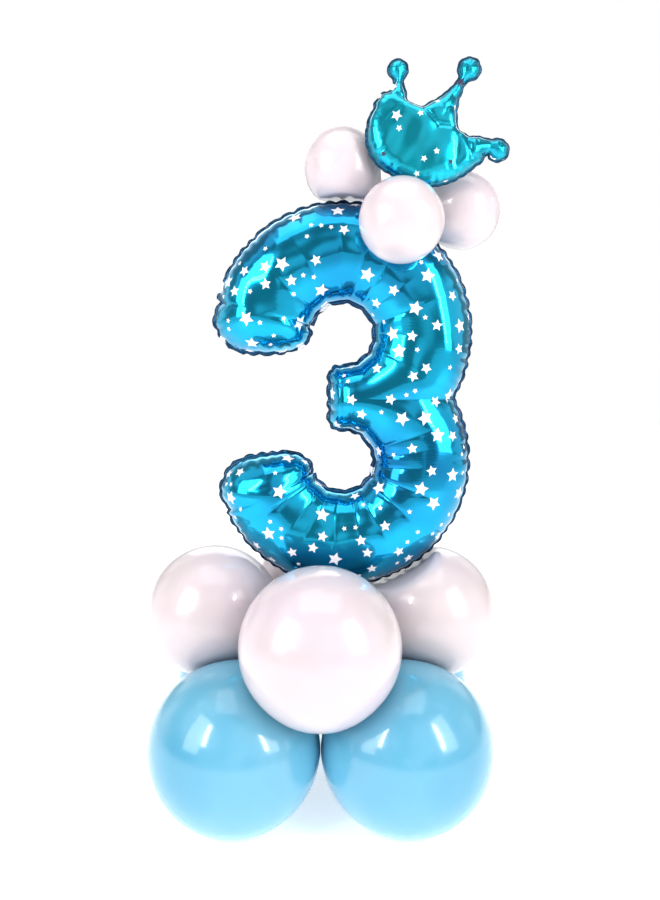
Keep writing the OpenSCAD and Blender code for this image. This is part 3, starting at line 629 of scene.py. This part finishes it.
def star_mask(nodes, links):
    """1 inside a five-pointed star of radius 1, from straight lines between tips and notches."""
    notch, tenth = 0.5, math.pi / 5
    printed = nodes.new("ShaderNodeUVMap")
    printed.uv_map = "star_print"
    split = nodes.new("ShaderNodeSeparateXYZ")
    links.new(printed.outputs[0], split.inputs[0])
    u, v = split.outputs["X"], split.outputs["Y"]
    squares = [value_node(nodes, links, "MULTIPLY", w, w) for w in (u, v)]
    far = value_node(nodes, links, "SQRT", value_node(nodes, links, "ADD", *squares))
    turn = value_node(nodes, links, "ARCTAN2", v, u)
    turn = value_node(nodes, links, "WRAP", turn, tenth, -tenth)
    along = value_node(nodes, links, "MULTIPLY", far, value_node(nodes, links, "COSINE", turn))
    beside = value_node(nodes, links, "MULTIPLY", far, value_node(nodes, links, "SINE", turn))
    beside = value_node(nodes, links, "ABSOLUTE", beside)
    lean = value_node(nodes, links, "SUBTRACT", along, notch)
    lean = value_node(nodes, links, "MULTIPLY", lean, math.sin(tenth))
    lift = value_node(nodes, links, "MULTIPLY", beside, math.cos(tenth) - notch)
    inside = value_node(nodes, links, "SUBTRACT", lift, lean)
    return value_node(nodes, links, "MULTIPLY_ADD", inside, 22.0, 0.5, clamp=True)


def foil(name, dye, painted_shade, ink, rough):
    """Dyed lacquer over bright metal, with stars in opaque ink. The margin is crimped and duller, the metal shows
    fine drawn lines, the gloss varies a little, and random patches of a deeper blue are painted shade that stands
    for the creases."""
    material = bpy.data.materials.new(name)
    material.use_nodes = True
    nodes, links = material.node_tree.nodes, material.node_tree.links
    skin = nodes["Principled BSDF"]
    place = nodes.new("ShaderNodeTexCoord")
    # Random patches of the deeper colour are painted shade, standing in for the darker creases
    drift = nodes.new("ShaderNodeTexNoise")
    drift.inputs["Scale"].default_value, drift.inputs["Detail"].default_value = 7, 2
    links.new(place.outputs["Object"], drift.inputs["Vector"])
    dye_and_painted_shade = nodes.new("ShaderNodeMix")
    dye_and_painted_shade.data_type = "RGBA"
    dye_and_painted_shade.inputs["A"].default_value, dye_and_painted_shade.inputs["B"].default_value = (*painted_shade, 1), (*dye, 1)
    depth = nodes.new("ShaderNodeMapRange")
    depth.inputs["From Min"].default_value, depth.inputs["From Max"].default_value = 0.3, 0.6
    links.new(drift.outputs["Fac"], depth.inputs["Value"])
    links.new(depth.outputs[0], dye_and_painted_shade.inputs["Factor"])
    margin = nodes.new("ShaderNodeAttribute")
    margin.attribute_name = "margin"
    edge = nodes.new("ShaderNodeMix")
    edge.data_type = "RGBA"
    edge.inputs["B"].default_value = (0.002, 0.02, 0.07, 1)
    links.new(value_node(nodes, links, "MULTIPLY", margin.outputs["Fac"], 0.92), edge.inputs["Factor"])
    links.new(dye_and_painted_shade.outputs["Result"], edge.inputs["A"])
    star = star_mask(nodes, links)
    inked = nodes.new("ShaderNodeMix")
    inked.data_type = "RGBA"
    inks = nodes.new("ShaderNodeMix")
    inks.data_type = "RGBA"
    inks.inputs["A"].default_value, inks.inputs["B"].default_value = (*ink, 1), (0.0, 0.008, 0.06, 1)
    dark = nodes.new("ShaderNodeAttribute")
    dark.attribute_name = "dark_ink"
    links.new(dark.outputs["Fac"], inks.inputs["Factor"])
    links.new(inks.outputs["Result"], inked.inputs["B"])
    links.new(star, inked.inputs["Factor"])
    links.new(edge.outputs["Result"], inked.inputs["A"])
    links.new(inked.outputs["Result"], skin.inputs["Base Color"])
    links.new(value_node(nodes, links, "MULTIPLY_ADD", star, -0.97, 0.97), skin.inputs["Metallic"])
    gloss = value_node(nodes, links, "MULTIPLY_ADD", drift.outputs["Fac"], 0.08, rough)
    gloss = value_node(nodes, links, "MULTIPLY_ADD", star, 0.25, gloss)
    gloss = value_node(nodes, links, "MULTIPLY_ADD", margin.outputs["Fac"], 0.12, gloss)
    links.new(gloss, skin.inputs["Roughness"])
    lines = nodes.new("ShaderNodeTexNoise")
    lines.inputs["Scale"].default_value, lines.inputs["Detail"].default_value = 90, 2
    stretch = nodes.new("ShaderNodeMapping")
    stretch.inputs["Scale"].default_value = (0.25, 1, 2.5)
    links.new(place.outputs["Object"], stretch.inputs["Vector"])
    links.new(stretch.outputs[0], lines.inputs["Vector"])
    crimp = nodes.new("ShaderNodeTexWave")
    crimp.inputs["Scale"].default_value = 260
    links.new(place.outputs["Object"], crimp.inputs["Vector"])
    crimped = value_node(nodes, links, "MULTIPLY", crimp.outputs["Fac"], margin.outputs["Fac"])
    drawn = value_node(nodes, links, "MULTIPLY", lines.outputs["Fac"], 0.35)
    relief = value_node(nodes, links, "ADD", crimped, drawn)
    bump = nodes.new("ShaderNodeBump")
    bump.inputs["Strength"].default_value, bump.inputs["Distance"].default_value = 0.25, 0.0006
    links.new(relief, bump.inputs["Height"])
    links.new(bump.outputs[0], skin.inputs["Normal"])
    skin.inputs["Coat Weight"].default_value = 0.35
    skin.inputs["Coat Roughness"].default_value = 0.05
    skin.inputs["Coat IOR"].default_value = 1.45
    return material


# The second colour is painted shade, laid on in random patches
figure_foil = foil("figure_foil", (0.000, 0.37, 0.60), (0.000, 0.20, 0.46), (0.90, 0.86, 0.89), 0.08)
bowls = ((upper_bowl, 1, 196), (lower_bowl, -1, 187))
figure_points, figure_faces = sheet_faces([(stroke_rows(*bowl), bowl[1] < 0) for bowl in bowls])
flat_edge = (figure_points[:, 2] < 0.0006).astype(float)
sink, moved, wave = pucker(figure_points, figure_faces, 0.025, 0.0042, 0.032, 0.0036)
depths = []
for side in (-1, 1):
    stand = figure_points[:, 2] - sink
    for bowl, flip, tip in bowls:
        beside_waist = flip * (figure_points[:, 1] - (upper_bowl[1] + lower_bowl[1]) / 2)
        stand -= fan_folds(figure_points, bowl, flip, -24, tip - 14, 21) * np.clip(beside_waist / 0.015, 0, 1)
    raised = np.clip(figure_points[:, 2] / 0.03, 0, 1)
    stand += swells(figure_points, 0.0007, (0.16, 0.11, 0.085, 0.07)) * raised
    depths.append(np.where(flat_edge > 0, 0, stand))
figure_skin = blow_film("figure_skin", figure_points, figure_faces, *depths, moved, wave, flat_edge,
                        ((0.0132, 84), (0.0100, 120), (0.0048, 150)))
figure_skin.data.materials.append(figure_foil)
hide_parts("figure_front_film", "figure_back_film")
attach(figure_skin, "figure")

# ---- Foil crown ----
# A small bag of the same film in turquoise, cut as a band with a curved foot and three spikes that
# end in balls. It is blown less hard, so its face is flatter, with folds at the foot of each spike.
crown_half, crown_top, crown_drop, crown_depth, crown_shear, crown_lean = 0.099, 0.037, 0.079, 0.062, 0.16, 29
side_z, crown_weld, neck_half = 0.005, 0.004, 0.0055
crown_centre = mini_hub + np.array([0.032, -0.070, 0.097])
# Each spike: its foot's two ends as parts of half the band, lean in degrees, length, ball radius
spikes = ((-0.96, -0.58, -27, 0.045, 0.015), (-0.36, 0.36, 3, 0.094, 0.01725), (0.58, 0.96, 76, 0.036, 0.01725))


def on_band(q, z):
    return np.array([q * crown_half + crown_shear * (z - crown_top), z])


def band_high(q):
    return crown_top - 0.008 * q * q


def band_low(q):
    return side_z - (side_z + crown_drop) * max(0, 1 - abs(q) ** 2.6) ** 0.62


def round_spike(left, right, lean, long, ball):
    """The cut edge up one side of a spike, round its ball and down the other side."""
    a, b = on_band(left, band_high(left)), on_band(right, band_high(right))
    middle, wide = (a + b) / 2, (b - a)[0] / 2
    cut, neck_cut = ball + crown_weld, neck_half + crown_weld
    stop = long - math.sqrt(cut ** 2 - neck_cut ** 2)
    path = [(u * (long - ball), neck_half + (wide - neck_half) * (1 - u) ** 2 + crown_weld)
            for u in np.linspace(0.14, 1, 40)]
    path = [p for p in path if p[0] < stop - 0.001]
    start = math.acos((stop - long) / cut)
    path += [(long + cut * math.cos(t), cut * math.sin(t)) for t in np.linspace(start, 0, 36)]
    sides = {-1: [], 1: []}
    for far, half in path:
        turn = math.radians(lean * min(1, far / long * 1.6))
        spot = middle + far * np.array([math.sin(turn), math.cos(turn)])
        for side in sides:
            sides[side].append(spot + side * half * np.array([math.cos(turn), -math.sin(turn)]))
    return sides[-1] + sides[1][::-1][1:]


def crown_outline(step):
    """The crown's cut edge, anticlockwise from its upper left corner, every step metres."""
    feet = [-1.04] + [q for s in spikes for q in s[:2]] + [1.04]
    top = []
    for i, spike in enumerate(spikes + (None,)):
        top += [on_band(q, band_high(q) + crown_weld) for q in np.linspace(feet[2 * i], feet[2 * i + 1], 12)]
        if spike:
            top += round_spike(*spike)
    foot = [on_band(q, band_low(q) - crown_weld) for q in np.sin(np.linspace(-math.pi / 2, math.pi / 2, 90))]
    foot[0], foot[-1] = on_band(-1.04, side_z), on_band(1.04, side_z)
    line = np.array(foot + top[::-1])
    for _ in range(2):
        closed = np.vstack([line, line[:1]])
        along = np.concatenate([[0], np.cumsum(np.linalg.norm(np.diff(closed, axis=0), axis=1))])
        even = np.linspace(0, along[-1], int(along[-1] / step), endpoint=False)
        line = np.stack([np.interp(even, along, closed[:, i]) for i in (0, 1)], axis=1)
        line = (np.roll(line, 1, axis=0) + 2 * line + np.roll(line, -1, axis=0)) / 4
    return line


def inside_line(points, line):
    ahead = np.roll(line, -1, axis=0)
    odd = np.zeros(len(points), bool)
    for (x0, z0), (x1, z1) in zip(line, ahead):
        crosses = (z0 > points[:, 1]) != (z1 > points[:, 1])
        odd ^= crosses & (points[:, 0] < x0 + (points[:, 1] - z0) * (x1 - x0) / (z1 - z0 + 1e-15))
    return odd


def fill_outline(line, rings, spacing):
    """Triangles inside a cut edge: rings of points that follow it, then an even pattern."""
    tree = KDTree(len(line))
    for i, spot in enumerate(line):
        tree.insert((*spot, 0), i)
    tree.balance()
    ahead = np.roll(line, -1, axis=0) - np.roll(line, 1, axis=0)
    inwards = np.stack([-ahead[:, 1], ahead[:, 0]], axis=1) / np.linalg.norm(ahead, axis=1)[:, None]
    points = [tuple(p) for p in line]
    for ring in rings:
        kept = []
        for spot in line + inwards * ring:
            spaced = all(math.dist(spot, k) > 0.0012 for k in kept[-3:] + kept[:2])
            if spaced and tree.find((*spot, 0))[2] > ring * 0.96:
                kept.append(tuple(spot))
        points += [k for k in kept if inside_line(np.array([k]), line)[0]]
    low, high = line.min(axis=0), line.max(axis=0)
    grid = [(x + spacing / 2 * (i % 2), z) for i, z in enumerate(np.arange(low[1], high[1], spacing * 0.87))
            for x in np.arange(low[0], high[0], spacing)]
    grid = np.array(grid)
    grid = grid[inside_line(grid, line)]
    points += [tuple(p) for p in grid if tree.find((*p, 0))[2] > rings[-1] + spacing * 0.6]
    made = delaunay_2d_cdt([Vector(p) for p in points], [], [list(range(len(line)))], 1, 1e-6)
    return np.array([tuple(v) for v in made[0]]), np.array(made[2])


def blown_height(points, faces, held):
    """How far a film blown up over this outline stands out: it solves for a soap film held along
    the weld, on the triangles, and takes the square root to give round sides."""
    corners = points[faces]
    count = len(points)
    area = np.cross(corners[:, 1] - corners[:, 0], corners[:, 2] - corners[:, 0]) / 2
    pairs, pulls = [], []
    for i in range(3):
        a, b, c = corners[:, i], corners[:, (i + 1) % 3], corners[:, (i + 2) % 3]
        pairs.append(faces[:, [(i + 1) % 3, (i + 2) % 3]])
        pulls.append(np.sum((b - a) * (c - a), axis=1) / (4 * area))
    pairs, pulls = np.concatenate(pairs), np.concatenate(pulls)
    load = np.bincount(faces.reshape(-1), np.repeat(area / 3, 3), count) * ~held
    stiff = np.bincount(pairs.reshape(-1), np.repeat(pulls, 2), count)

    def pull(u):
        across = np.bincount(pairs[:, 0], pulls * u[pairs[:, 1]], count)
        across += np.bincount(pairs[:, 1], pulls * u[pairs[:, 0]], count)
        return (stiff * u - across) * ~held

    u, left = np.zeros(count), load.copy()
    way, size = left.copy(), left @ left
    for _ in range(900):
        pulled = pull(way)
        step = size / max(way @ pulled, 1e-30)
        u += step * way
        left -= step * pulled
        size, old = left @ left, size
        if size < 1e-24:
            break
        way = left + size / old * way
    return np.sqrt(np.maximum(u, 0))


def fold_line(points, a, b, deep, wide):
    """A straight fold between two places on the film, deepest in the middle."""
    a, b = np.array(a), np.array(b)
    run = np.clip((points[:, :2] - a) @ (b - a) / np.sum((b - a) ** 2), 0, 1)
    off = np.linalg.norm(points[:, :2] - a - run[:, None] * (b - a), axis=1)
    return deep * np.exp(-off / wide) * np.sin(math.pi * np.clip(run, 0.12, 0.88)) ** 0.6


crown_edge = crown_outline(0.0021)
crown_flat, crown_faces = fill_outline(crown_edge, (0.002, crown_weld, 0.006, 0.0083), 0.0027)
crown_points = np.column_stack([crown_flat, np.zeros(len(crown_flat))])
crown_away = follow_edge(crown_points, crown_faces)[1]
crown_held = crown_away < crown_weld * 1.03
puff = 1.55 * blown_height(crown_flat, crown_faces, crown_held)
crown_points[:, 2] = puff / (1 + (puff / (crown_depth / 2 + 0.001)) ** 3) ** (1 / 3)
sink, moved, wave = pucker(crown_points, crown_faces, 0.016, 0.0026, 0.022, 0.0016)
# Each fold: its two ends, how deep it is and how wide
fold_places = [((-0.094, 0.030), (-0.052, 0.034), 0.0050, 0.0032),
               ((-0.040, 0.038), (0.006, 0.022), 0.0048, 0.0034),
               ((0.040, 0.038), (0.006, 0.022), 0.0048, 0.0034),
               ((0.052, 0.034), (0.078, 0.004), 0.0052, 0.0034),
               ((0.078, 0.004), (0.096, 0.018), 0.0040, 0.0030),
               ((0.030, 0.045), (0.060, -0.016), 0.0022, 0.0040),
               ((-0.060, 0.026), (-0.075, -0.020), 0.0020, 0.0040),
               ((0.006, 0.090), (0.005, 0.040), 0.0018, 0.0030)]
# The crown's back gives way where the left mini balloon stands behind it, with room for its sway
lean = math.radians(crown_lean)
tilt = np.array([[math.cos(lean), -math.sin(lean)], [math.sin(lean), math.cos(lean)]])
beyond = (crown_centre - mini_places["left"])[[0, 2]] + crown_flat @ tilt
room = (mini_r + 0.006) ** 2 - np.sum(beyond ** 2, axis=1)
room = np.where(room > 0, mini_places["left"][1] - np.sqrt(np.maximum(room, 0)) - crown_centre[1], 1.0)
crown_depths = []
for side in (-1, 1):
    stand = crown_points[:, 2] - sink
    for place in fold_places:
        stand -= fold_line(crown_points, *place) * np.clip(crown_points[:, 2] / 0.008, 0, 1)
    stand += swells(crown_points, 0.0007, (0.09, 0.06, 0.045)) * np.clip(crown_points[:, 2] / 0.02, 0, 1)
    if side > 0:
        stand = np.clip(room, film_half, stand)
    crown_depths.append(np.where(crown_held, 0, stand))
crown_skin = blow_film("crown_skin", crown_points, crown_faces, *crown_depths, moved, wave * 0.5,
                       crown_held.astype(float), ((0.0095, 12), (0.0055, 20)), 0.4)
crown_skin.data.transform(Matrix.Translation(crown_centre) @ Matrix.Rotation(math.radians(crown_lean), 4, "Y"))
# The second colour is painted shade, laid on in random patches
crown_foil = foil("crown_foil", (0.004, 0.46, 0.60), (0.002, 0.36, 0.50), (0.90, 0.93, 0.95), 0.20)
crown_skin.data.materials.append(crown_foil)
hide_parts("crown_front_film", "crown_back_film")
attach(crown_skin, "crown")

# ---- Inflation tails ----
# Each bag ends in a flat tail where it was blown up: two unwelded sheets of the same film, drawn in
# to soft pleats where a ribbon ties it.


def tail_strip(name, top, low, wide, tied, material):
    """A hanging tail from top to low, centred on top's x, pinched at the height called tied."""
    across, down = np.linspace(-1, 1, 25), np.linspace(top[1], low, 19)
    u, z = np.meshgrid(across, down, indexing="ij")
    pinch = 1 - 0.55 * np.exp(-((z - tied) / 0.007) ** 2)
    points = np.stack([top[0] + u * wide / 2 * pinch, z, np.zeros_like(z)], axis=-1).reshape(-1, 3)
    index = np.arange(u.size).reshape(u.shape)
    faces = np.stack([index[:-1, :-1], index[:-1, 1:], index[1:, 1:], index[1:, :-1]], axis=-1).reshape(-1, 4)
    pleats = (0.0011 * (1 - pinch) / 0.55 * np.sin(u * 9.5)).reshape(-1)
    film = np.full(len(points), film_half)
    still = np.zeros((len(points), 2))
    strip = blow_film(name, points, faces, film, film, still, pleats, still[:, 0], ())
    strip.data.materials.append(material)
    return strip


valve_low, valve_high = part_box("figure_valve")
tie_low, tie_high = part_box("figure_tie_ribbon")
tail_low, tail_wide, tail_lap = 0.356, 0.026, 0.004
tail_top = ((valve_low[0] + valve_high[0]) / 2, lower_bowl[1] - bowl_r + tail_lap)
figure_tied = (tie_low[2] + tie_high[2]) / 2
figure_tail = tail_strip("figure_tail_skin", tail_top, tail_low, tail_wide, figure_tied, figure_foil)
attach(figure_tail, "figure")
crown_tail_long, crown_tied, crown_lap = 0.028, 0.020, 0.0015
crown_foot = -crown_drop - crown_weld
crown_tail = tail_strip("crown_tail_skin", (0, crown_foot + crown_lap), crown_foot - crown_tail_long, tail_wide / 2,
                        crown_foot - crown_tied, crown_foil)
crown_tail.data.transform(Matrix.Translation(crown_centre) @ Matrix.Rotation(math.radians(crown_lean), 4, "Y"))
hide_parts("crown_tail")
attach(crown_tail, "crown")

# ---- Ribbons ----
# Narrow white gift ribbon with fine ribs along it: one winds the two lower rings of knots together,
# one ties the figure's tail down, and one ties the crown's tail to the mini balloons.
ribbon = bpy.data.materials.new("ribbed_ribbon")
ribbon.use_nodes = True
nodes, links = ribbon.node_tree.nodes, ribbon.node_tree.links
weave = nodes["Principled BSDF"]
place = nodes.new("ShaderNodeTexCoord")
ribs = nodes.new("ShaderNodeTexWave")
ribs.inputs["Scale"].default_value, ribs.inputs["Distortion"].default_value = 420, 0.6
links.new(place.outputs["Object"], ribs.inputs["Vector"])
threads = nodes.new("ShaderNodeTexNoise")
threads.inputs["Scale"].default_value, threads.inputs["Detail"].default_value = 300, 3
links.new(place.outputs["Object"], threads.inputs["Vector"])
cloth = nodes.new("ShaderNodeMix")
cloth.data_type = "RGBA"
cloth.inputs["A"].default_value, cloth.inputs["B"].default_value = (0.70, 0.69, 0.68, 1), (0.86, 0.86, 0.84, 1)
links.new(threads.outputs["Fac"], cloth.inputs["Factor"])
links.new(cloth.outputs["Result"], weave.inputs["Base Color"])
worn = value_node(nodes, links, "MULTIPLY_ADD", threads.outputs["Fac"], 0.2, 0.25)
links.new(worn, weave.inputs["Roughness"])
bump = nodes.new("ShaderNodeBump")
bump.inputs["Strength"].default_value, bump.inputs["Distance"].default_value = 0.4, 0.0003
links.new(ribs.outputs["Fac"], bump.inputs["Height"])
links.new(bump.outputs[0], weave.inputs["Normal"])
weave.inputs["Sheen Weight"].default_value = 0.2


def clear_film(name, tint, rough, scale, strength):
    """Clear plastic with a faint tint, a slightly uneven surface and a varying gloss."""
    material = bpy.data.materials.new(name)
    material.use_nodes = True
    nodes, links = material.node_tree.nodes, material.node_tree.links
    film = nodes["Principled BSDF"]
    place = nodes.new("ShaderNodeTexCoord")
    uneven = nodes.new("ShaderNodeTexNoise")
    uneven.inputs["Scale"].default_value, uneven.inputs["Detail"].default_value = scale, 2
    links.new(place.outputs["Object"], uneven.inputs["Vector"])
    clouded = nodes.new("ShaderNodeMix")
    clouded.data_type = "RGBA"
    clouded.inputs["A"].default_value, clouded.inputs["B"].default_value = (*tint, 1), (0.95, 0.96, 0.96, 1)
    links.new(uneven.outputs["Fac"], clouded.inputs["Factor"])
    links.new(clouded.outputs["Result"], film.inputs["Base Color"])
    dull = value_node(nodes, links, "MULTIPLY_ADD", uneven.outputs["Fac"], 0.1, rough)
    links.new(dull, film.inputs["Roughness"])
    wavy = nodes.new("ShaderNodeBump")
    wavy.inputs["Strength"].default_value, wavy.inputs["Distance"].default_value = strength, 0.0004
    links.new(uneven.outputs["Fac"], wavy.inputs["Height"])
    links.new(wavy.outputs[0], film.inputs["Normal"])
    film.inputs["Transmission Weight"].default_value = 0.85
    film.inputs["IOR"].default_value = 1.45
    return material


# ---- Valves and glue dots ----
# A valve is a sleeve of two clear sheets that gas pressure shuts. The glue dots are soft clear discs
# that hold the figure against the white balloon under it and the mini balloons against the figure.
valve_film = clear_film("valve_film", (0.86, 0.90, 0.92), 0.10, 60, 0.2)
glue = clear_film("clear_glue", (0.90, 0.90, 0.84), 0.22, 140, 0.5)
for node, material in (("base_ribbon", ribbon), ("figure_tie_ribbon", ribbon), ("topper_ribbon", ribbon),
                       ("figure_valve", valve_film), ("crown_valve", valve_film),
                       ("nest_glue_dots", glue), ("topper_glue_dots", glue)):
    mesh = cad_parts[node].data
    mesh.materials.clear()
    mesh.materials.append(material)
